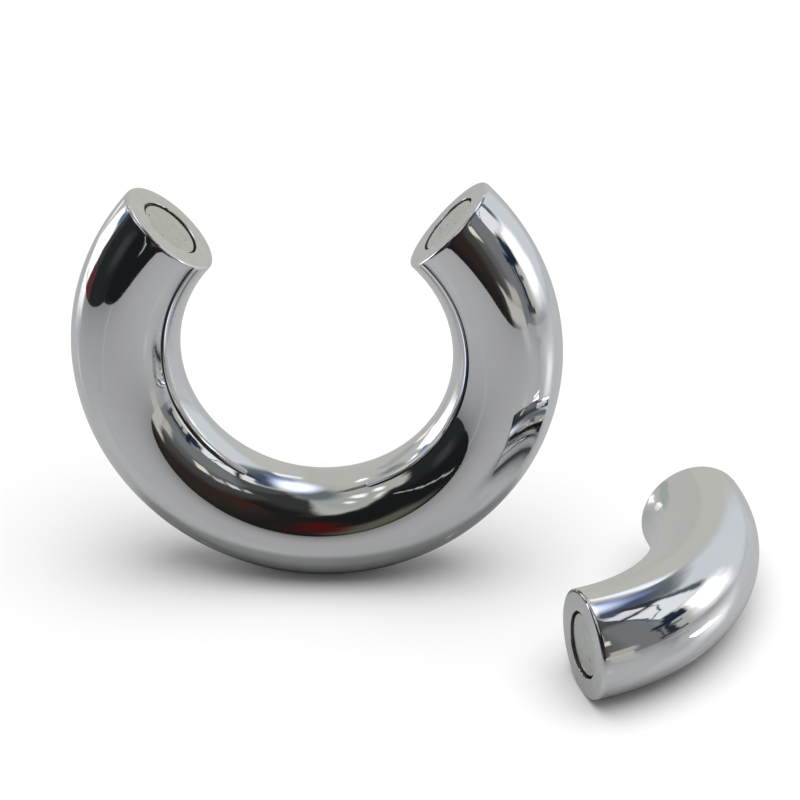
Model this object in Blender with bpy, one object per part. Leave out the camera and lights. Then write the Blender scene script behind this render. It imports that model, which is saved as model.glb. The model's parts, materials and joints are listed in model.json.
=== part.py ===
"""Two-part magnetic split ring, lying open: a 270 degree arc standing on its rim and a 90 degree arc beside it.

Each arc is a solid round bar bent to one ring.  Both ends of each arc are cut flat and radial, and hold a disc
magnet bonded in a blind bore.  World axes: +X across the standing arc, +Y through its hole to the back, +Z up.
The origin is at the middle of the assembly's footprint, on the surface that both arcs rest on.
"""
import math

import bmesh
import bpy
from mathutils import Matrix, Vector

# ---- driving dimensions, in metres ---------------------------------------------------------------------------
RING_RADIUS = 0.0245          # centre of the ring to the centre of its bar: 63 mm outside, 35 mm inside
BAR_RADIUS = 0.0070           # 14 mm round bar
SPLIT_HALF = math.radians(45.0)        # half of the short arc; the long arc is the rest of the ring
FACE_CLEARANCE = 0.00015      # taken off each end face, so that the closed ring keeps a 0.3 mm line
RIM_ROUND = 0.00075           # rounding where an end face meets the bar

MAGNET_RADIUS = 0.0040        # 8 x 5 mm disc magnets
MAGNET_THICKNESS = 0.0050
MAGNET_CHAMFER = 0.0002
MAGNET_RECESS = 0.00005       # how far a magnet sits below its end face
BORE_RADIUS = 0.00425
BOND_RADIUS = 0.0041          # hardened adhesive under each magnet
BOND_THICKNESS = 0.0005
SEAT_GAP = 0.0001             # between bore floor, adhesive and magnet
BORE_DEPTH = MAGNET_RECESS + MAGNET_THICKNESS + BOND_THICKNESS + 2 * SEAT_GAP

# ---- how the two arcs lie ------------------------------------------------------------------------------------
LONG_LEAN = math.radians(4.5)          # the standing arc's mouth tips back
LONG_TURN = math.radians(-4.2)          # its front turns a little to the left
LONG_ROLL = math.radians(2.0)           # its mouth rolls a little to the left
SHORT_RIGHT = 1.026 * RING_RADIUS      # centre of the lying arc from the centre of the standing one
SHORT_FRONT = 0.333 * RING_RADIUS
SHORT_BEARING = math.radians(-27.85)   # direction in which the middle of the lying arc bulges

# ---- the way in which the ring is put together ------------------------------------------------------------------
LEFT_SWIVEL = math.radians(45.0)       # turn about the left joint, which swings the far end into the mouth
FAR_SWIVEL = math.radians(114.06)      # turn of the short arc about its far magnet

# ---- mesh fineness ---------------------------------------------------------------------------------------------
DEGREES_PER_STEP = 5.0
BAR_SIDES = 24
BORE_SIDES = 32
RIM_STEPS = 3
CUTTER_OVERRUN = 0.001


def clear_scene():
    for old in list(bpy.data.objects):
        bpy.data.objects.remove(old, do_unlink=True)


def new_collection(name):
    collection = bpy.data.collections.new(name)
    bpy.context.scene.collection.children.link(collection)
    return collection


def new_material(name, colour, roughness, metallic):
    material = bpy.data.materials.new(name)
    material.use_nodes = True
    shader = material.node_tree.nodes["Principled BSDF"]
    shader.inputs["Base Color"].default_value = (*colour, 1.0)
    shader.inputs["Roughness"].default_value = roughness
    shader.inputs["Metallic"].default_value = metallic
    return material


def new_empty(name, collection, matrix, parent=None):
    empty = bpy.data.objects.new(name, None)
    empty.empty_display_size = BAR_RADIUS
    collection.objects.link(empty)
    empty.parent = parent
    if parent:
        empty.matrix_parent_inverse = parent.matrix_world.inverted()
    empty.matrix_world = matrix
    bpy.context.view_layer.update()
    return empty


def new_piece(name, mesh_builder, material, collection, frame):
    """One mesh object whose own axes are those of the empty called frame."""
    mesh = bpy.data.meshes.new(name)
    shape = bmesh.new()
    mesh_builder(shape)
    bmesh.ops.recalc_face_normals(shape, faces=shape.faces)
    shape.to_mesh(mesh)
    shape.free()
    mesh.shade_smooth()
    mesh.set_sharp_from_angle(angle=math.radians(40.0))
    mesh.materials.append(material)
    piece = bpy.data.objects.new(name, mesh)
    collection.objects.link(piece)
    piece.parent = frame
    return piece


def basis(x_axis, y_axis, z_axis, origin):
    matrix = Matrix((x_axis, y_axis, z_axis)).transposed().to_4x4()
    matrix.translation = origin
    return matrix


# ---- where things are ------------------------------------------------------------------------------------------
def long_arc_frame():
    """Ring centre of the standing arc: X across, Y out through the middle of its mouth, Z along the ring's axis."""
    upright = Matrix.Rotation(math.radians(90.0), 4, "X")
    roll = Matrix.Rotation(-LONG_ROLL, 4, "Y")
    lean = Matrix.Rotation(-LONG_LEAN, 4, "X")
    turn = Matrix.Rotation(LONG_TURN, 4, "Z")
    frame = turn @ lean @ roll @ upright
    axis = frame.to_3x3().col[2]
    frame.translation.z = RING_RADIUS * math.sqrt(1.0 - axis.z ** 2) + BAR_RADIUS
    return frame


def short_arc_frame():
    """Ring centre of the lying arc: X out through the middle of the arc, Z along the ring's axis."""
    frame = Matrix.Rotation(SHORT_BEARING, 4, "Z")
    frame.translation = (SHORT_RIGHT, -SHORT_FRONT, BAR_RADIUS)
    return frame


def closed_short_arc_frame(long_frame):
    """The short arc's frame once it fills the long arc's mouth, near end to the left."""
    across, mouth, axis = long_frame.to_3x3().col
    return basis(mouth, across, -axis, long_frame.translation)


def end_frame(arc_frame, angle, side):
    """Centre of an end face of an arc: Z points out of the bar.  side is +1 where angle grows out of the arc."""
    radial = Vector((math.cos(angle), math.sin(angle), 0.0))
    outward = side * Vector((-math.sin(angle), math.cos(angle), 0.0))
    centre = radial * RING_RADIUS - outward * FACE_CLEARANCE
    return arc_frame @ basis(radial, outward.cross(radial), outward, centre)


def turn_about(frame, angle):
    """The motion that turns by angle about the Z axis of a frame."""
    return frame @ Matrix.Rotation(angle, 4, "Z") @ frame.inverted()


def carry_frame(long_frame, short_frame, left_end, far_end):
    """Hinge that carries the short arc from where it lies to where the two swivels finish closing the ring."""
    closing = closed_short_arc_frame(long_frame) @ short_frame.inverted()
    carry = turn_about(left_end, LEFT_SWIVEL) @ closing @ turn_about(far_end, -FAR_SWIVEL)
    turn = carry.to_quaternion()
    axis, angle = turn.to_axis_angle()
    shift = carry.translation - carry.translation.dot(axis) * axis
    pivot = 0.5 * shift + axis.cross(shift) / (2.0 * math.tan(0.5 * angle))
    pivot += axis * (short_frame.translation - pivot).dot(axis)
    across = axis.orthogonal().normalized()
    return basis(across, axis.cross(across), axis, pivot), angle


# ---- shapes ----------------------------------------------------------------------------------------------------
def arc_builder(middle, half_angle):
    """A round bar bent round Z, from middle - half_angle to middle + half_angle, with its end rims rounded."""
    clearance_angle = FACE_CLEARANCE / RING_RADIUS
    sweep = 2.0 * (half_angle - clearance_angle)
    steps = round(math.degrees(sweep) / DEGREES_PER_STEP)

    def build(shape):
        stand = Matrix.Translation((RING_RADIUS, 0.0, 0.0)) @ Matrix.Rotation(math.radians(90.0), 4, "X")
        start = Matrix.Rotation(middle - 0.5 * sweep, 4, "Z") @ stand
        bmesh.ops.create_circle(shape, cap_ends=True, segments=BAR_SIDES, radius=BAR_RADIUS, matrix=start)
        bmesh.ops.spin(shape, geom=shape.verts[:] + shape.edges[:] + shape.faces[:], cent=(0, 0, 0),
                       axis=(0, 0, 1), angle=sweep, steps=steps, use_duplicate=False)
        rims = [edge for face in shape.faces if len(face.verts) == BAR_SIDES for edge in face.edges]
        bmesh.ops.bevel(shape, geom=rims, offset=RIM_ROUND, segments=RIM_STEPS, profile=0.5, affect="EDGES")

    return build


def disc_builder(radius, front, thickness, chamfer=0.0):
    """A disc about Z whose front face is at z = front."""
    def build(shape):
        place = Matrix.Translation((0.0, 0.0, front - 0.5 * thickness))
        bmesh.ops.create_cone(shape, cap_ends=True, segments=BORE_SIDES, radius1=radius, radius2=radius,
                              depth=thickness, matrix=place)
        if chamfer:
            rims = [edge for face in shape.faces if len(face.verts) == BORE_SIDES for edge in face.edges]
            bmesh.ops.bevel(shape, geom=rims, offset=chamfer, segments=1, affect="EDGES")

    return build


def cut_bore(arc, name, frame, cutters):
    """A blind bore for a magnet, sunk into the end face at frame."""
    depth = BORE_DEPTH + CUTTER_OVERRUN
    cutter = new_piece(name, disc_builder(BORE_RADIUS, CUTTER_OVERRUN, depth), arc.data.materials[0],
                       cutters, frame)
    cutter.hide_render = True
    cutter.display_type = "WIRE"
    bore = arc.modifiers.new(name, "BOOLEAN")
    bore.operation = "DIFFERENCE"
    bore.object = cutter


def fit_magnet(label, frame, materials, collection):
    """The adhesive and the magnet in the bore at frame."""
    magnet = disc_builder(MAGNET_RADIUS, -MAGNET_RECESS, MAGNET_THICKNESS, MAGNET_CHAMFER)
    bond_front = -MAGNET_RECESS - MAGNET_THICKNESS - SEAT_GAP
    bond = disc_builder(BOND_RADIUS, bond_front, BOND_THICKNESS)
    new_piece(label + "_magnet", magnet, materials["magnet"], collection, frame)
    new_piece(label + "_adhesive", bond, materials["adhesive"], collection, frame)


def world_bounds(collection):
    """Lowest and highest corners of every solid, as evaluated."""
    bpy.context.view_layer.update()
    depsgraph = bpy.context.evaluated_depsgraph_get()
    corners = []
    for piece in collection.objects:
        if piece.type == "MESH":
            evaluated = piece.evaluated_get(depsgraph)
            corners += [evaluated.matrix_world @ vertex.co for vertex in evaluated.data.vertices]
    low = Vector(min(corner[axis] for corner in corners) for axis in range(3))
    high = Vector(max(corner[axis] for corner in corners) for axis in range(3))
    return low, high


def build_ring():
    clear_scene()
    ring = new_collection("magnetic_split_ring")
    cutters = new_collection("cutters")
    materials = {
        "steel": new_material("polished_steel", (0.80, 0.81, 0.82), 0.06, 1.0),
        "magnet": new_material("nickel_plate", (0.62, 0.64, 0.61), 0.28, 1.0),
        "adhesive": new_material("hard_adhesive", (0.10, 0.08, 0.06), 0.55, 0.0),
    }
    root = new_empty("footprint", ring, Matrix())

    long_world = long_arc_frame()
    short_world = short_arc_frame()
    mouth = math.radians(90.0)
    ends = {
        "left": end_frame(long_world, mouth + SPLIT_HALF, -1.0),
        "right": end_frame(long_world, mouth - SPLIT_HALF, 1.0),
        "near": end_frame(short_world, -SPLIT_HALF, -1.0),
        "far": end_frame(short_world, SPLIT_HALF, 1.0),
    }
    carry_world, _carry_angle = carry_frame(long_world, short_world, ends["left"], ends["far"])

    long_frame = new_empty("long_arc_frame", ring, long_world, root)
    carry = new_empty("carry_hinge", ring, carry_world, root)
    frames = {
        "left": new_empty("left_end", ring, ends["left"], long_frame),
        "right": new_empty("right_end", ring, ends["right"], long_frame),
        "far": new_empty("far_end", ring, ends["far"], carry),
    }
    short_frame = new_empty("short_arc_frame", ring, short_world, frames["far"])
    frames["near"] = new_empty("near_end", ring, ends["near"], short_frame)

    long_arc = new_piece("long_arc", arc_builder(-mouth, math.pi - SPLIT_HALF), materials["steel"],
                         ring, long_frame)
    short_arc = new_piece("short_arc", arc_builder(0.0, SPLIT_HALF), materials["steel"], ring, short_frame)
    for label, arc in (("left", long_arc), ("right", long_arc), ("near", short_arc), ("far", short_arc)):
        cut_bore(arc, label + "_bore", frames[label], cutters)
        fit_magnet(label, frames[label], materials, ring)

    low, high = world_bounds(ring)
    root.location = (-0.5 * (low.x + high.x), -0.5 * (low.y + high.y), -low.z)
    bpy.context.view_layer.update()


build_ring()
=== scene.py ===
"""Looks of the two-part magnetic split ring: polished bar, lapped ends, nickel magnets in glued bores."""
import json
import math

import bmesh
import bpy
from mathutils import Matrix, Vector


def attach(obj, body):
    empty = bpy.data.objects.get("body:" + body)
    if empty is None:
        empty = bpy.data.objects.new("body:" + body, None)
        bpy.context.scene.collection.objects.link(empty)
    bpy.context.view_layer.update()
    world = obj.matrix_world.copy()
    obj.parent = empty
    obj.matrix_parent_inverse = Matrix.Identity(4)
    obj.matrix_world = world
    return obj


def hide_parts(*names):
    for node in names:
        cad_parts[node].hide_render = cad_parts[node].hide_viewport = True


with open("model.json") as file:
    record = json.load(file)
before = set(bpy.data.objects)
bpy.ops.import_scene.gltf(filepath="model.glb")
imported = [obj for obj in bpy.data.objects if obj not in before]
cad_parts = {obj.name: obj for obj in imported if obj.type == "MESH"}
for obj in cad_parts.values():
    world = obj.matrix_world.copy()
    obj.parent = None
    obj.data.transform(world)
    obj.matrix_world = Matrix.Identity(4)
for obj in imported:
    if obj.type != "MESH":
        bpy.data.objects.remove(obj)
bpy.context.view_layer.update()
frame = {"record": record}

# ---- sizes of the real thing, in metres ----------------------------------------------------------
RING_RADIUS = 0.0245
BAR_RADIUS = 0.0070
FACE_CLEARANCE = 0.00015       # each end face stops this far short of the split
RIM_ROUND = 0.00045            # rounding between the end face and the bar's skin
LIP_CHAMFER = 0.00008          # broken edge at the mouth of each bore
BORE_RADIUS = 0.00425
BORE_DEPTH = 0.00575
MAGNET_RADIUS = 0.0040
MAGNET_THICKNESS = 0.0050
MAGNET_EDGE = 0.00022          # rounding of the magnet's two edges
MAGNET_RECESS = 0.00005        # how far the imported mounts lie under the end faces
SUNK = {"left": 0.00012, "right": 0.00012, "near": 0.00028, "far": 0.00009}   # depth of each magnet
OFF_CENTRE = {"left": 0.00019, "right": 0.00012, "near": 0.0, "far": 0.0}     # how far it lies to a side
OFF_TOWARD = (0.0, -1.0, 0.0)  # the side
GLUE_DEPTH = 0.00045           # how far the glue line in the gap lies under the magnet's face
GLUE_CREEP = 0.00045           # how far it has crept up in one place
CREEP_TOWARD = (-0.58, 0.61, 0.54)
CREEP_SHARPNESS = 14           # the higher, the narrower the crept place
GLUE_RIPPLES = ((0.00004, 3.0, 10.0), (0.00003, 7.0, 0.0))     # height, waves in a turn, shift with place
GLUE_SKIRT = 0.00003           # between glue and bore, glue and magnet, and glue bed and magnet
GLUE_FLOOR = 0.0001            # between the glue and the floor of the bore
GLUE_CORNER = 0.0002           # corner at the foot of the glue's outside
BED_CORNER = 0.0001            # corner between the bed and the inside
GLUE_DISH = 0.00006            # how far the middle of the glue line sags
GLUE_LIP = 0.00002             # how far it climbs on the magnet

# ---- fineness of the meshes ----------------------------------------------------------------------
BAR_SIDES = 144
STEP = math.radians(1.25)      # along the bend
RIM_STEPS = 9
EDGE_STEPS = 6
DISC_SIDES = 96
SHARP = 35.0                   # edges sharper than this many degrees stay sharp in the shading
GLUE_SHARP = 60.0
INNERMOST = 0.001              # radius of the innermost ring of each glue face
FRONT_RINGS = (0.0012, 0.0024)
BACK_RING = 0.0015
GLUE_SKIN = (4, 5, 6)          # the rings of glue_profile that show in the gap


# ---- node helpers --------------------------------------------------------------------------------
class Nodes:
    """Short names for building a node tree."""

    def __init__(self, tree):
        self.tree = tree

    def add(self, kind, settings=None, **inputs):
        node = self.tree.nodes.new(kind)
        for name, value in (settings or {}).items():
            setattr(node, name, value)
        for name, value in inputs.items():
            self.put(node.inputs[name.replace("_", " ")], value)
        return node

    def put(self, socket, value):
        if isinstance(value, bpy.types.NodeSocket):
            self.tree.links.new(value, socket)
        else:
            socket.default_value = value

    def math(self, operation, *values):
        node = self.add("ShaderNodeMath", {"operation": operation})
        for socket, value in zip(node.inputs, values):
            self.put(socket, value)
        return node.outputs[0]

    def vector_math(self, operation, *values):
        node = self.add("ShaderNodeVectorMath", {"operation": operation})
        for socket, value in zip(node.inputs, values):
            self.put(socket, value)
        return node.outputs[0]

    def vector_value(self, operation, *values):
        """A vector operation that gives one number."""
        return self.vector_math(operation, *values).node.outputs["Value"]

    def ramp(self, value, low, high, to_low=0.0, to_high=1.0, smooth=False):
        settings = {"interpolation_type": "SMOOTHSTEP" if smooth else "LINEAR", "clamp": True}
        node = self.add("ShaderNodeMapRange", settings)
        for name, number in (("Value", value), ("From Min", low), ("From Max", high),
                             ("To Min", to_low), ("To Max", to_high)):
            self.put(node.inputs[name], number)
        return node.outputs[0]

    def mix(self, factor, first, second):
        node = self.add("ShaderNodeMix", {"data_type": "RGBA"})
        for place, value in ((0, factor), (6, first), (7, second)):     # the sockets of a colour mix
            self.put(node.inputs[place], value)
        return node.outputs[2]

    def noise(self, vector, scale, detail=3.0, roughness=0.55):
        node = self.add("ShaderNodeTexNoise", Vector=vector, Scale=scale, Detail=detail,
                        Roughness=roughness)
        return node.outputs[0]


def linear(red, green, blue, gain=1.0):
    """A colour given in the usual 0 to 255 screen values, as linear light."""
    def channel(value):
        value /= 255.0
        return value / 12.92 if value <= 0.04045 else ((value + 0.055) / 1.055) ** 2.4
    return tuple(gain * channel(value) for value in (red, green, blue)) + (1.0,)


def new_material(name):
    """The material, a node builder for it, its shader and the place on the piece as its socket."""
    material = bpy.data.materials.new(name)
    material.use_nodes = True
    nodes = Nodes(material.node_tree)
    shader = material.node_tree.nodes["Principled BSDF"]
    place = nodes.add("ShaderNodeTexCoord").outputs["Object"]
    return material, nodes, shader, place


def bump(nodes, shader, height, strength, distance, after=None):
    """Adds a bump to the shader, on top of the bump called after."""
    node = nodes.add("ShaderNodeBump", Height=height, Strength=strength, Distance=distance)
    if after:
        nodes.put(node.inputs["Normal"], after)
    nodes.put(shader.inputs["Normal"], node.outputs[0])
    return node.outputs[0]


# ---- materials -----------------------------------------------------------------------------------
def polished_bar():
    """Buffed mirror finish: nearly clean reflections, faint orange peel, wipe marks and hairlines."""
    material, nodes, shader, place = new_material("polished_steel")
    shader.inputs["Metallic"].default_value = 1.0
    haze = nodes.noise(place, 160.0, 4.0)
    tint = nodes.mix(nodes.ramp(haze, 0.35, 0.7), (0.80, 0.812, 0.83, 1.0), (0.835, 0.84, 0.85, 1.0))
    nodes.put(shader.inputs["Base Color"], tint)
    stretched = nodes.vector_math("MULTIPLY", place, (1.0, 0.35, 2.2))
    wipe = nodes.noise(stretched, 900.0, 5.0, 0.6)
    nodes.put(shader.inputs["Roughness"], nodes.ramp(wipe, 0.35, 0.75, 0.018, 0.05))
    peel = nodes.noise(place, 420.0, 2.0, 0.4)
    first = bump(nodes, shader, peel, 0.10, 0.00002)
    hair = nodes.noise(nodes.vector_math("MULTIPLY", place, (0.4, 1.0, 6.0)), 2600.0, 2.0)
    bump(nodes, shader, nodes.ramp(hair, 0.66, 0.72), 0.05, 0.000004, first)
    return material


def lapped_face():
    """The flat end faces: the same steel, lapped to a soft sheen with fine strokes in one direction."""
    material, nodes, shader, place = new_material("lapped_steel")
    shader.inputs["Metallic"].default_value = 1.0
    cloud = nodes.noise(place, 500.0, 4.0)
    nodes.put(shader.inputs["Base Color"],
              nodes.mix(nodes.ramp(cloud, 0.3, 0.7), (0.77, 0.78, 0.79, 1.0), (0.84, 0.845, 0.85, 1.0)))
    nodes.put(shader.inputs["Roughness"], nodes.ramp(cloud, 0.3, 0.7, 0.10, 0.2))
    strokes = nodes.noise(nodes.vector_math("MULTIPLY", place, (9.0, 0.7, 1.0)), 1500.0, 3.0)
    bump(nodes, shader, strokes, 0.2, 0.00001)
    return material


def bore_wall():
    """Drilled wall with fine rings, dull and dark."""
    material, nodes, shader, place = new_material("drilled_bore")
    shader.inputs["Metallic"].default_value = 1.0
    rings = nodes.noise(nodes.vector_math("MULTIPLY", place, (1.0, 1.0, 8.0)), 2200.0, 2.0)
    nodes.put(shader.inputs["Base Color"],
              nodes.mix(rings, (0.18, 0.175, 0.17, 1.0), (0.32, 0.31, 0.30, 1.0)))
    nodes.put(shader.inputs["Roughness"], nodes.ramp(rings, 0.3, 0.7, 0.35, 0.6))
    bump(nodes, shader, rings, 0.3, 0.00003)
    return material


def nickel_plate():
    """Magnet faces: satin nickel with a warm green cast, small dark specks, pits and random scratches."""
    material, nodes, shader, place = new_material("magnet_nickel")
    shader.inputs["Metallic"].default_value = 1.0
    cloud = nodes.noise(place, 700.0, 5.0, 0.6)
    plate = nodes.mix(nodes.ramp(cloud, 0.3, 0.7), (0.66, 0.68, 0.645, 1.0), (0.78, 0.795, 0.765, 1.0))
    dots = nodes.add("ShaderNodeTexVoronoi", Vector=place, Scale=1150.0, Randomness=1.0)
    chance = nodes.add("ShaderNodeSeparateColor", Color=dots.outputs["Color"]).outputs[0]
    picked = nodes.ramp(chance, 0.80, 0.82)
    spot = nodes.math("MULTIPLY", nodes.ramp(dots.outputs["Distance"], 0.10, 0.22, 1.0, 0.0), picked)
    nodes.put(shader.inputs["Base Color"],
              nodes.mix(nodes.math("MULTIPLY", spot, 0.75), plate, (0.16, 0.15, 0.13, 1.0)))
    scratch_a = nodes.noise(nodes.vector_math("MULTIPLY", place, (7.0, 0.5, 1.0)), 900.0, 2.0)
    scratch_b = nodes.noise(nodes.vector_math("MULTIPLY", place, (0.6, 6.0, 1.0)), 760.0, 2.0)
    lines = nodes.math("MAXIMUM", nodes.ramp(scratch_a, 0.66, 0.72), nodes.ramp(scratch_b, 0.68, 0.74))
    rough = nodes.math("ADD", nodes.ramp(cloud, 0.3, 0.7, 0.16, 0.27), nodes.math("MULTIPLY", spot, 0.4))
    nodes.put(shader.inputs["Roughness"], nodes.math("ADD", rough, nodes.math("MULTIPLY", lines, 0.12)))
    height = nodes.math("SUBTRACT", nodes.math("MULTIPLY", cloud, 0.25), nodes.math("ADD", spot, lines))
    bump(nodes, shader, height, 0.35, 0.00001)
    return material


def hard_adhesive():
    """Dark cured adhesive with brown, slightly glossy skin."""
    material, nodes, shader, place = new_material("cured_adhesive")
    lumps = nodes.noise(place, 900.0, 4.0)
    nodes.put(shader.inputs["Base Color"],
              nodes.mix(nodes.ramp(lumps, 0.35, 0.7), (0.018, 0.014, 0.011, 1.0), (0.10, 0.062, 0.035, 1.0)))
    nodes.put(shader.inputs["Roughness"], nodes.ramp(lumps, 0.3, 0.7, 0.32, 0.6))
    bump(nodes, shader, lumps, 0.6, 0.00006)
    return material


# ---- meshes --------------------------------------------------------------------------------------
def basis(x_axis, y_axis, z_axis, origin):
    """The matrix with these three axes and this origin."""
    matrix = Matrix((x_axis, y_axis, z_axis)).transposed().to_4x4()
    matrix.translation = origin
    return matrix


def lathe_rings(shape, rings, slots):
    """Joins rings of vertices, first to last, with quads, and closes both ends on a middle vertex."""
    count = len(rings[0])
    for number, (first, second) in enumerate(zip(rings, rings[1:])):
        for side in range(count):
            after = (side + 1) % count
            face = shape.faces.new((first[side], first[after], second[after], second[side]))
            face.material_index = slots[number]
    for ring, slot in ((rings[0], slots[0]), (rings[-1], slots[-1])):
        middle = shape.verts.new(sum((vertex.co for vertex in ring), Vector()) / count)
        for side in range(count):
            face = shape.faces.new((ring[side], ring[(side + 1) % count], middle))
            face.material_index = slot


def finish_mesh(name, shape, matrix, materials, sharp=SHARP):
    """Turns the finished shape into a linked object, placed by the matrix."""
    bmesh.ops.recalc_face_normals(shape, faces=shape.faces)
    mesh = bpy.data.meshes.new(name)
    shape.to_mesh(mesh)
    shape.free()
    mesh.shade_smooth()
    mesh.set_sharp_from_angle(angle=math.radians(sharp))
    for material in materials:
        mesh.materials.append(material)
    mesh.transform(matrix)
    piece = bpy.data.objects.new(name, mesh)
    bpy.context.scene.collection.objects.link(piece)
    return piece


def end_profile():
    """(radius, depth under the end face, slot of the strip that follows), from the bore's floor outward."""
    bar, face, bore = 0, 1, 2
    points = [(BORE_RADIUS * 0.5, BORE_DEPTH, bore), (BORE_RADIUS, BORE_DEPTH, bore),
              (BORE_RADIUS, BORE_DEPTH * 0.5, bore), (BORE_RADIUS, LIP_CHAMFER, face),
              (BORE_RADIUS + LIP_CHAMFER, 0.0, face), (BORE_RADIUS + 2 * LIP_CHAMFER, 0.0, face)]
    flat_out = BAR_RADIUS - RIM_ROUND
    points += [(0.5 * (BORE_RADIUS + flat_out), 0.0, face), (flat_out - LIP_CHAMFER, 0.0, face)]
    for step in range(RIM_STEPS + 1):
        turn = 0.5 * math.pi * step / RIM_STEPS
        points.append((flat_out + RIM_ROUND * math.sin(turn), RIM_ROUND * (1.0 - math.cos(turn)), bar))
    return points


def bent_bar(name, matrix, middle, half, materials):
    """The bar of one arc, bent round the matrix's Z, with rounded rims and a straight bore in each end."""
    shape = bmesh.new()
    half -= FACE_CLEARANCE / RING_RADIUS
    profile = end_profile()

    def ring(angle, radius, straight=0.0):
        radial = Vector((math.cos(angle), math.sin(angle), 0.0))
        along = Vector((-math.sin(angle), math.cos(angle), 0.0)) * straight
        vertices = []
        for side in range(BAR_SIDES):
            turn = 2.0 * math.pi * side / BAR_SIDES
            out = RING_RADIUS + radius * math.cos(turn)
            upward = Vector((0.0, 0.0, radius * math.sin(turn)))
            vertices.append(shape.verts.new(radial * out + upward + along))
        return vertices

    def end_ring(angle, radius, depth, inward):
        """The bore runs straight in from the end face; the rim follows the bend."""
        if radius <= BORE_RADIUS:
            return ring(angle, radius, inward * depth)
        return ring(angle + inward * depth / RING_RADIUS, radius)

    rings, slots = [], []
    for radius, depth, slot in profile:
        rings.append(end_ring(middle - half, radius, depth, 1.0))
        slots.append(slot)
    start = middle - half + RIM_ROUND / RING_RADIUS
    sweep = 2.0 * (half - RIM_ROUND / RING_RADIUS)
    count = round(sweep / STEP)
    for step in range(1, count):
        rings.append(ring(start + sweep * step / count, BAR_RADIUS))
        slots.append(0)
    for index in range(len(profile) - 1, -1, -1):
        radius, depth, _slot = profile[index]
        rings.append(end_ring(middle + half, radius, depth, -1.0))
        slots.append(profile[index - 1][2] if index else profile[0][2])
    lathe_rings(shape, rings, slots)
    return finish_mesh(name, shape, matrix, materials)


def off_centre(matrix, amount):
    """How far a glued magnet lies to one side in its bore, as a shift in the matrix's own X and Y."""
    toward = matrix.to_3x3().inverted() @ Vector(OFF_TOWARD)
    toward.z = 0.0
    return toward.normalized() * amount


def turned(name, matrix, points, material, sharp=SHARP, lift=None, shift=Vector()):
    """A turned solid about the matrix's Z from (radius, height) points, closed at both ends.

    lift(turn) raises the rings in GLUE_SKIN.  shift moves the rings that are no wider than the magnet by
    the full amount, and wider ones by less, so that a ring on the bore's wall stays where it is.
    """
    shape = bmesh.new()
    rings = []
    for number, (radius, height) in enumerate(points):
        ring = []
        loose = (BORE_RADIUS - max(radius, MAGNET_RADIUS)) / (BORE_RADIUS - MAGNET_RADIUS)
        for side in range(DISC_SIDES):
            turn = 2.0 * math.pi * side / DISC_SIDES
            rise = lift(turn) if lift and number in GLUE_SKIN else 0.0
            point = Vector((radius * math.cos(turn), radius * math.sin(turn), height + rise))
            ring.append(shape.verts.new(point + shift * loose))
        rings.append(ring)
    lathe_rings(shape, rings, [0] * len(rings))
    return finish_mesh(name, shape, matrix, [material], sharp)


def magnet_profile(sunk):
    """A disc with a rounded front edge, its face sunk under the end face."""
    front = -sunk
    back = front - MAGNET_THICKNESS
    points = [(radius, front) for radius in (*FRONT_RINGS, MAGNET_RADIUS - 1.5 * MAGNET_EDGE)]
    for step in range(EDGE_STEPS + 1):
        turn = 0.5 * math.pi * step / EDGE_STEPS
        points.append((MAGNET_RADIUS - MAGNET_EDGE * (1.0 - math.sin(turn)),
                       front - MAGNET_EDGE * (1.0 - math.cos(turn))))
    points += [(MAGNET_RADIUS, 0.5 * (front + back)), (MAGNET_RADIUS, back + MAGNET_EDGE),
               (MAGNET_RADIUS - MAGNET_EDGE, back), (BACK_RING, back)]
    return points


def glue_profile(sunk):
    """A cup of glue: the bed under the magnet, and the dished line that shows in the gap round it."""
    outer = BORE_RADIUS - GLUE_SKIRT
    inner = MAGNET_RADIUS + GLUE_SKIRT
    middle = 0.5 * (outer + inner)
    bed = -sunk - MAGNET_THICKNESS - GLUE_SKIRT
    skin = -sunk - GLUE_DEPTH
    floor = -BORE_DEPTH + GLUE_FLOOR
    halfway = -0.5 * BORE_DEPTH
    outside = [(INNERMOST, floor), (outer - GLUE_CORNER, floor), (outer, floor + GLUE_CORNER),
               (outer, halfway)]
    line = [(outer, skin), (middle, skin - GLUE_DISH), (inner, skin + GLUE_LIP)]
    inside = [(inner, halfway), (inner, bed + BED_CORNER), (inner - BED_CORNER, bed), (INNERMOST, bed)]
    return outside + line + inside


def creep(matrix):
    """Unevenness of the glue line: small ripples, and one place where it has crept up to the face."""
    toward = matrix.to_3x3().inverted() @ Vector(CREEP_TOWARD)

    def rise(turn):
        ripple = 0.0
        for tall, waves, drift in GLUE_RIPPLES:
            ripple += tall * math.sin(waves * turn + drift * matrix.translation.x)
        facing = max(0.0, toward.x * math.cos(turn) + toward.y * math.sin(turn))
        return ripple + GLUE_CREEP * facing ** CREEP_SHARPNESS
    return rise


# ---- the object ----------------------------------------------------------------------------------
def end_frames():
    """Centre of each end face, Z out of the bar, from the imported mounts."""
    frames = {}
    for mount in frame["record"]["mounts"]:
        out = Vector(mount["axis"]).normalized()
        centre = Vector(mount["pos_m"]) + out * MAGNET_RECESS
        across = out.orthogonal().normalized()
        frames[mount["name"].replace("_face", "")] = basis(across, out.cross(across), out, centre)
    return frames


def arc_matrix(first, second):
    """Ring centre of the arc between two end frames: Z is the ring's axis, X runs through the first end."""
    out_first, out_second = first.to_3x3().col[2], second.to_3x3().col[2]
    axis = out_first.cross(out_second).normalized()
    chord = second.translation - first.translation
    radial = axis.cross(out_first)
    if radial.dot(chord) > 0.0:
        radial.negate()
    centre = first.translation + out_first * FACE_CLEARANCE - radial * RING_RADIUS
    return basis(radial, axis.cross(radial), axis, centre)


def angle_in(matrix, point):
    """Angle of the point about the matrix's Z, from its X."""
    local = matrix.inverted() @ point
    return math.atan2(local.y, local.x)


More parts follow.
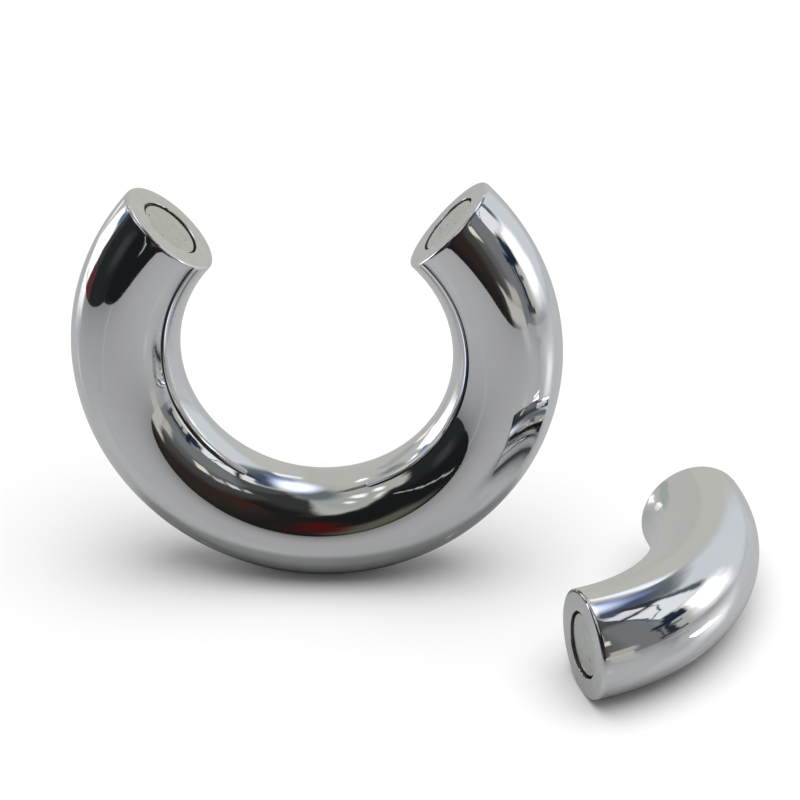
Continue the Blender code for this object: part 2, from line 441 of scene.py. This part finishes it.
def build_arc(name, node, body, first, second, half, materials):
    """The bar between two end frames, half its length as an angle, in place of the CAD node."""
    matrix = arc_matrix(first, second)
    on_split = second.translation + second.to_3x3().col[2] * FACE_CLEARANCE
    middle = 0.5 * angle_in(matrix, on_split)
    if half > 0.5 * math.pi:
        middle += math.pi
    piece = bent_bar(name, matrix, middle, half, materials)
    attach(piece, body)
    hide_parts(node)
    return piece


def build_object():
    """The two bars, and a magnet and its adhesive in each end."""
    ends = end_frames()
    bodies = {"left": "left_magnet_seat", "right": "long_segment", "near": "short_segment",
              "far": "far_magnet_seat"}
    bar = [polished_bar(), lapped_face(), bore_wall()]
    nickel, glue = nickel_plate(), hard_adhesive()
    short_half = math.radians(45.0)
    long_half = math.pi - short_half
    build_arc("long_arc_bar", "long_arc", "long_segment", ends["right"], ends["left"], long_half, bar)
    build_arc("short_arc_bar", "short_arc", "short_segment", ends["near"], ends["far"], short_half, bar)
    for label, matrix in ends.items():
        shift = off_centre(matrix, OFF_CENTRE[label])
        disc, cup = magnet_profile(SUNK[label]), glue_profile(SUNK[label])
        magnet = turned(label + "_magnet_disc", matrix, disc, nickel, shift=shift)
        bond = turned(label + "_glue_line", matrix, cup, glue, GLUE_SHARP, creep(matrix), shift)
        pieces = ((magnet, "_magnet", "magnet_nickel"), (bond, "_adhesive", "cured_adhesive"))
        for piece, node, slot in pieces:
            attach(piece, bodies[label])
            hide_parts(label + node)


# ---- the room that the polish mirrors ------------------------------------------------------------
# A staged surround, no part of the object: soft patches of plain colour on the walls of a box.
# Bearing is seen from above: 0 is the viewer's side, positive to the right.  Angles are in degrees.
# name, bearing, elevation, width, height, edge softness, lean (bearing per degree up), colour, gain
ROOM = [
    ("far_wall_left", -150, 25, 70, 80, 10, 0, (178, 178, 172), 1.0),
    ("ceiling_left", -60, 58, 70, 32, 7, 0.9, (158, 161, 154), 1.0),
    ("ceiling_post", -108, 59, 14, 24, 4, 0, (88, 92, 95), 1.0),
    ("dim_wall_left", -120, 34, 15, 14, 4, 0, (128, 132, 129), 1.0),
    ("ceiling_lamp_a", -62, 44, 10, 4, 2, 0.3, (220, 222, 216), 1.0),
    ("ceiling_lamp_d", -134, 49, 8, 6, 2, 0, (255, 253, 246), 1.2),
    ("ceiling_lamp_e", -48, 56.5, 7, 6, 2.2, 0, (236, 238, 234), 1.1),
    ("ceiling_lamp_b", -79, 48, 9, 5, 2.5, -0.2, (246, 246, 240), 1.2),
    ("ceiling_lamp_c", -69, 58, 11, 8, 2.5, 0, (242, 242, 236), 1.1),
    ("dim_ceiling_right", 48, 60, 46, 42, 5, 0, (72, 75, 77), 1.0),
    ("plant_left", -141, 15, 11, 30, 3, 0.2, (155, 164, 157), 1.0),
    ("plant_glint", -142, 0, 6, 5, 1.5, 0, (240, 242, 240), 1.1),
    ("side_window_left", -119, 4, 25, 17, 3.5, 0.5, (255, 255, 255), 2.0),
    ("side_window_slit", -114, 20, 4, 13, 1.5, 0.3, (250, 252, 255), 1.5),
    ("blue_frame_left", -112, 15, 10, 8, 2.5, 0, (84, 118, 146), 1.0),
    ("dark_left_end", -97, 14, 22, 40, 4, 0, (56, 58, 57), 1.0),
    ("dark_left", -80, 9, 34, 44, 3, 0, (34, 38, 38), 1.0),
    ("dark_room", -21, 12, 94, 58, 2.5, 0, (32, 35, 36), 1.0),
    ("dark_room_high", 15, 44, 58, 72, 6, 0, (50, 52, 51), 1.0),
    ("dark_core", -26, 13, 66, 50, 4, 0, (24, 25, 26), 1.0),
    ("dark_core_right", 10, 18, 34, 62, 7, 0, (30, 28, 27), 1.0),
    ("brown_coats", 16, 12, 26, 40, 6, 0, (44, 37, 34), 1.0),
    ("red_cloth_left", -103, -5, 15, 11, 2, 0, (88, 44, 47), 1.0),
    ("dim_panel_left", -69, 9, 13, 11, 4, 0, (54, 58, 57), 1.0),
    ("dim_panel_front", -20, 4, 15, 13, 4, 0, (84, 84, 74), 1.0),
    ("bright_strut", -46, 16, 1.2, 36, 0.6, -0.52, (168, 172, 170), 1.0),
    ("red_coat_a", -11, 15, 9, 22, 4.4, 0, (70, 20, 20), 1.0),
    ("red_coat_b", 14, 27, 6, 16, 3, 0, (62, 32, 29), 1.0),
    ("dark_right_edge", 31, 22, 16, 66, 5, 0, (62, 63, 61), 1.0),
    ("dim_wall_right", 43, 18, 16, 56, 5, 0, (88, 90, 89), 1.0),
    ("grey_wall_right", 57, 19, 24, 58, 5, 0, (110, 113, 114), 1.0),
    ("warm_heap", 44.5, 0, 13, 6.5, 1.5, 0, (168, 166, 158), 1.0),
    ("warm_heap_low", 37, -6.5, 24, 6.5, 1.2, 0, (176, 174, 166), 1.0),
    ("side_pane_low", 39, 21.5, 6, 8, 1.2, 0, (218, 210, 196), 1.0),
    ("side_pane_mid", 37, 30.5, 5, 7, 1.2, 0, (176, 172, 164), 1.0),
    ("side_pane_high", 37, 39, 5, 6, 1.2, 0, (206, 204, 198), 1.0),
    ("side_pane_top", 36, 47, 5, 5, 1.2, 0, (170, 172, 174), 1.0),
    ("bright_wall_right", 124, 20, 52, 56, 9, 0, (200, 204, 208), 1.0),
    ("warm_wall_back", 163, 25, 34, 90, 9, 0, (184, 183, 177), 1.0),
    ("dusk_band", 128, 51, 46, 14, 5, 0, (98, 103, 108), 1.0),
    ("blue_dusk", 106, 62, 56, 18, 4, 0, (68, 77, 97), 1.0),
    ("blue_sky_strip", 146, 61, 34, 13, 5, 0, (112, 128, 164), 1.0),
    ("lamp_line_back", 162, 47, 22, 5.5, 2.5, 0, (240, 243, 250), 1.05),
    ("window_glow", 94.5, 11, 24, 24, 7, 0, (255, 255, 255), 1.12),
    ("window_glow_core", 94, 12, 14, 16, 5, 0, (255, 255, 255), 3.0),
    ("window_pane", 84.5, 36.5, 31, 22.5, 1.5, 0, (222, 225, 227), 1.0),
    ("window_pane_top", 81, 56.5, 25, 9, 1.5, 0, (214, 215, 216), 1.0),
    ("window_bar", 84, 50, 38, 2.2, 0.9, 0, (46, 48, 52), 1.0),
    ("window_post_left", 68, 37, 2.3, 26, 0.8, 0, (84, 92, 100), 1.0),
    ("window_post_right", 101.7, 43, 7.5, 34, 2.5, 0, (84, 89, 92), 1.0),
    ("window_head_right", 98, 56, 12, 14, 2, 0, (52, 55, 62), 1.0),
    ("window_brace", 80, 39, 2, 20, 0.6, 1.2, (104, 106, 110), 1.0),
    ("navy_cap", 74, 17.5, 13, 8, 1.5, 0.25, (32, 44, 64), 1.0),
    ("navy_crown", 73.5, 22, 7, 5.5, 1.5, 0.25, (32, 44, 64), 1.0),
    ("navy_brim", 70, 15, 18, 4, 1, 0, (27, 37, 50), 1.0),
    ("navy_post", 68, 5, 3.2, 18, 0.8, 0, (38, 44, 52), 1.0),
    ("navy_leg", 63.4, 5.5, 1.6, 16, 0.7, 0, (60, 64, 68), 1.0),
    ("navy_bar", 72, 8.5, 5, 1.6, 0.5, 0, (62, 68, 76), 1.0),
    ("navy_foot", 68, -2.8, 14, 2.6, 0.8, 0, (58, 61, 65), 1.0),
]
# Round patches, painted over those: name, bearing, elevation, inner and outer reach, colour, gain
GLOWS = [
    ("dim_zenith", -75, 84, 7, 19, (100, 105, 110), 1.0),
    ("lamp_overhead", 153, 74, 4, 19, (216, 224, 250), 1.7),
]
WALL = (170, 169, 163)
FLOOR_FAR = (152, 153, 155)
HORIZON = (-6.0, -3.0)         # the floor's colour passes into the wall's between these elevations
WANDER_SCALE = 9.0             # slow unevenness of all edges in the room
WANDER = 1.6                   # degrees
WANDER_UPRIGHT = 0.6           # share of it that also moves them up and down
TABLE_LOW, TABLE_HIGH = (-0.30, -0.155), (1.6, 1.2)
ROOM_LOW, ROOM_HIGH = (-0.9, -1.6, -0.02), (0.23, 0.6, 1.2)     # its right wall is near, the others are far
ROOM_EYE = (0.0, 0.005, 0.035)         # bearings and elevations are taken from here
TABLE_LIFT = 0.0001
TABLE_COLOUR = (0.44, 0.442, 0.446)
TABLE_ROUGHNESS = 0.14
TABLE_IOR = 1.8
SHADE_COLOUR = (0.245, 0.25, 0.245)
SHADE_MIDDLE = (-0.011, 0.0145, 0.0)   # the oval of shade under the long arc
SHADE_REACH = (0.034, 0.0135, 1.0)
SHADE_EDGE = (0.85, 1.1)       # it fades out between these shares of its reach
STREAK_LIFT = 0.0002
STREAK_GLOW = 1.15
# start, end, width
STREAKS = [((0.0530, -0.0200), (0.0605, -0.0105), 0.0055),
           ((0.0580, -0.0220), (0.0660, -0.0130), 0.0012)]
PLATE_SHARE = 0.84             # the bar gives back this share of what it mirrors

# ---- the floor and light that the camera sees --------------------------------------------------
FLOOR_COLOUR = (0.93, 0.93, 0.93)
FLOOR_REACH = 4.0
FLOOR_ROUGHNESS = 0.9
PLAIN_IOR = 1.45
BACKDROP = (0.93, 0.93, 0.93, 1.0)
SOFT_FILL = (0.42, 0.42, 0.42, 1.0)    # light from all round
LAMP_PLACE = (0.1, -0.1, 1.2)
LAMP_SIZE = 1.6
LAMP_POWER = 15.5


def staged(name, shape, material):
    """Turns the finished shape into an object of the stage."""
    mesh = bpy.data.meshes.new(name)
    shape.to_mesh(mesh)
    shape.free()
    mesh.materials.append(material)
    piece = bpy.data.objects.new(name, mesh)
    bpy.context.scene.collection.objects.link(piece)
    return piece


def mirrored_direction(nodes, place):
    """Direction from ROOM_EYE to the place, and its bearing and elevation with the slow unevenness."""
    direction = nodes.vector_math("NORMALIZE", nodes.vector_math("SUBTRACT", place, ROOM_EYE))
    wander = nodes.noise(direction, WANDER_SCALE, 3.0)
    split = nodes.add("ShaderNodeSeparateXYZ", Vector=direction).outputs
    bearing = nodes.math("ARCTAN2", split[0], nodes.math("MULTIPLY", split[1], -1.0))
    bearing = nodes.math("MULTIPLY", bearing, math.degrees(1.0))
    elevation = nodes.math("MULTIPLY", nodes.math("ARCSINE", split[2]), math.degrees(1.0))
    shake = nodes.ramp(wander, 0.3, 0.7, -WANDER, WANDER)
    bearing = nodes.math("ADD", bearing, shake)
    elevation = nodes.math("SUBTRACT", elevation, nodes.math("MULTIPLY", shake, WANDER_UPRIGHT))
    return direction, bearing, elevation


def box_share(nodes, bearing, elevation, turn, height, width, tall, soft, lean):
    """1 inside the soft box of directions, 0 outside."""
    above = nodes.math("SUBTRACT", elevation, height)
    middle = nodes.math("MULTIPLY_ADD", above, lean, turn)
    sideways = nodes.math("ABSOLUTE", nodes.math("SUBTRACT", bearing, middle))
    across = nodes.ramp(sideways, 0.5 * width - soft, 0.5 * width + soft, 1.0, 0.0, True)
    along = nodes.ramp(nodes.math("ABSOLUTE", above), 0.5 * tall - soft, 0.5 * tall + soft, 1.0, 0.0, True)
    return nodes.math("MULTIPLY", across, along)


def glow_share(nodes, direction, turn, height, inner, outer):
    """1 inside the soft round patch of directions, 0 outside."""
    turn, height = math.radians(turn), math.radians(height)
    flat = math.cos(height)
    middle = (math.sin(turn) * flat, -math.cos(turn) * flat, math.sin(height))
    near = nodes.vector_value("DOT_PRODUCT", direction, middle)
    angle = nodes.math("MULTIPLY", nodes.math("ARCCOSINE", near), math.degrees(1.0))
    return nodes.ramp(angle, inner, outer, 1.0, 0.0, True)


def room_shell():
    """Box of plain walls, seen only in the polish, that shows what ROOM and GLOWS say for each direction."""
    shape = bmesh.new()
    bmesh.ops.create_cube(shape, size=1.0)
    for vertex in shape.verts:
        for axis in range(3):
            vertex.co[axis] = ROOM_HIGH[axis] if vertex.co[axis] > 0.0 else ROOM_LOW[axis]
    material, nodes, shader, place = new_material("room_shell")
    material.cycles.emission_sampling = "NONE"
    direction, bearing, elevation = mirrored_direction(nodes, place)
    gain = 1.0 / PLATE_SHARE
    colour = nodes.mix(nodes.ramp(elevation, *HORIZON), linear(*FLOOR_FAR, gain), linear(*WALL, gain))
    for _name, *box, tint, strength in ROOM:
        share = box_share(nodes, bearing, elevation, *box)
        colour = nodes.mix(share, colour, linear(*tint, gain * strength))
    for _name, *patch, tint, strength in GLOWS:
        share = glow_share(nodes, direction, *patch)
        colour = nodes.mix(share, colour, linear(*tint, gain * strength))
    glow = nodes.add("ShaderNodeEmission", Color=colour)
    output = material.node_tree.nodes["Material Output"]
    nodes.put(output.inputs["Surface"], glow.outputs[0])
    material.node_tree.nodes.remove(shader)
    return staged("room_shell", shape, material)


def pale_surround():
    """A pale backdrop for the camera, and soft fill light from all round."""
    world = bpy.data.worlds.new("surround")
    bpy.context.scene.world = world
    world.use_nodes = True
    nodes = Nodes(world.node_tree)
    seen = nodes.add("ShaderNodeLightPath").outputs["Is Camera Ray"]
    background = world.node_tree.nodes["Background"]
    nodes.put(background.inputs["Color"], nodes.mix(seen, SOFT_FILL, BACKDROP))


def show_only_in_polish(piece):
    for ray in ("camera", "diffuse", "transmission", "shadow", "volume_scatter"):
        setattr(piece, "visible_" + ray, False)


def stage_plane(name, low, high, height, colour, roughness, shine):
    """A level rectangle of one plain material; shine is its index of refraction."""
    shape = bmesh.new()
    corners = [(low[0], low[1]), (high[0], low[1]), (high[0], high[1]), (low[0], high[1])]
    shape.faces.new([shape.verts.new((x, y, height)) for x, y in corners])
    material, _nodes, shader, _place = new_material(name)
    shader.inputs["Base Color"].default_value = (*colour, 1.0)
    shader.inputs["Roughness"].default_value = roughness
    shader.inputs["IOR"].default_value = shine
    return staged(name, shape, material)


def shade_under_arc(table):
    """The table that the polish mirrors is darker in an oval under the long arc."""
    material = table.data.materials[0]
    nodes = Nodes(material.node_tree)
    place = nodes.add("ShaderNodeTexCoord").outputs["Object"]
    reach = nodes.vector_math("DIVIDE", nodes.vector_math("SUBTRACT", place, SHADE_MIDDLE), SHADE_REACH)
    share = nodes.ramp(nodes.vector_value("LENGTH", reach), *SHADE_EDGE, 0.0, 1.0, True)
    colour = nodes.mix(share, (*SHADE_COLOUR, 1.0), (*TABLE_COLOUR, 1.0))
    nodes.put(material.node_tree.nodes["Principled BSDF"].inputs["Base Color"], colour)


def light_streaks():
    """Bright strokes of window light that the short arc throws on the table beside it."""
    shape = bmesh.new()
    for start, end, width in STREAKS:
        start, end = Vector((*start, STREAK_LIFT)), Vector((*end, STREAK_LIFT))
        side = (end - start).cross(Vector((0.0, 0.0, 1.0))).normalized() * 0.5 * width
        corners = (start - side, start + side, end + side, end - side)
        shape.faces.new([shape.verts.new(corner) for corner in corners])
    material, _nodes, shader, _place = new_material("light_streaks")
    material.cycles.emission_sampling = "NONE"
    shader.inputs["Emission Color"].default_value = (1.0, 1.0, 1.0, 1.0)
    shader.inputs["Emission Strength"].default_value = STREAK_GLOW
    return staged("light_streaks", shape, material)


def soft_light(name, place, target, size, power):
    """A round area light aimed at the target, itself unseen by the camera and by the polish."""
    data = bpy.data.lights.new(name, "AREA")
    data.shape = "DISK"
    data.size = size
    data.energy = power
    lamp = bpy.data.objects.new(name, data)
    lamp.location = place
    lamp.rotation_euler = (Vector(target) - Vector(place)).to_track_quat("-Z", "Y").to_euler()
    lamp.visible_glossy = False
    lamp.visible_camera = False
    bpy.context.scene.collection.objects.link(lamp)


def build_stage():
    """The pale floor that the camera sees, the table and room that only the polish sees, and the light."""
    low, high = (-FLOOR_REACH, -FLOOR_REACH), (FLOOR_REACH, FLOOR_REACH)
    seen = stage_plane("floor", low, high, 0.0, FLOOR_COLOUR, FLOOR_ROUGHNESS, PLAIN_IOR)
    seen.visible_glossy = False
    mirrored = stage_plane("table_in_polish", TABLE_LOW, TABLE_HIGH, TABLE_LIFT, TABLE_COLOUR,
                           TABLE_ROUGHNESS, TABLE_IOR)
    shade_under_arc(mirrored)
    for piece in (mirrored, light_streaks(), room_shell()):
        show_only_in_polish(piece)
    soft_light("overhead", LAMP_PLACE, (0.0, 0.0, 0.0), LAMP_SIZE, LAMP_POWER)
    pale_surround()


# ---- camera --------------------------------------------------------------------------------------
CAMERA_TARGET = (-0.0020, 0.0082, 0.0274)
CAMERA_DISTANCE = 0.38
CAMERA_ELEVATION = math.radians(29.87)
CAMERA_ROLL = math.radians(-0.86)
LENS_MM = 135.0
SENSOR_MM = 36.0
CLIP_START = 0.01


def build_camera():
    data = bpy.data.cameras.new("camera")
    data.lens = LENS_MM
    data.sensor_width = SENSOR_MM
    data.clip_start = CLIP_START
    camera = bpy.data.objects.new("camera", data)
    bpy.context.scene.collection.objects.link(camera)
    back = Vector((0.0, -math.cos(CAMERA_ELEVATION), math.sin(CAMERA_ELEVATION)))
    camera.location = Vector(CAMERA_TARGET) + back * CAMERA_DISTANCE
    look = back.to_track_quat("Z", "Y").to_matrix().to_4x4()
    camera.rotation_euler = (look @ Matrix.Rotation(CAMERA_ROLL, 4, "Z")).to_euler()
    bpy.context.scene.camera = camera


build_object()
build_stage()
build_camera()
bpy.context.scene.view_settings.view_transform = "Standard"
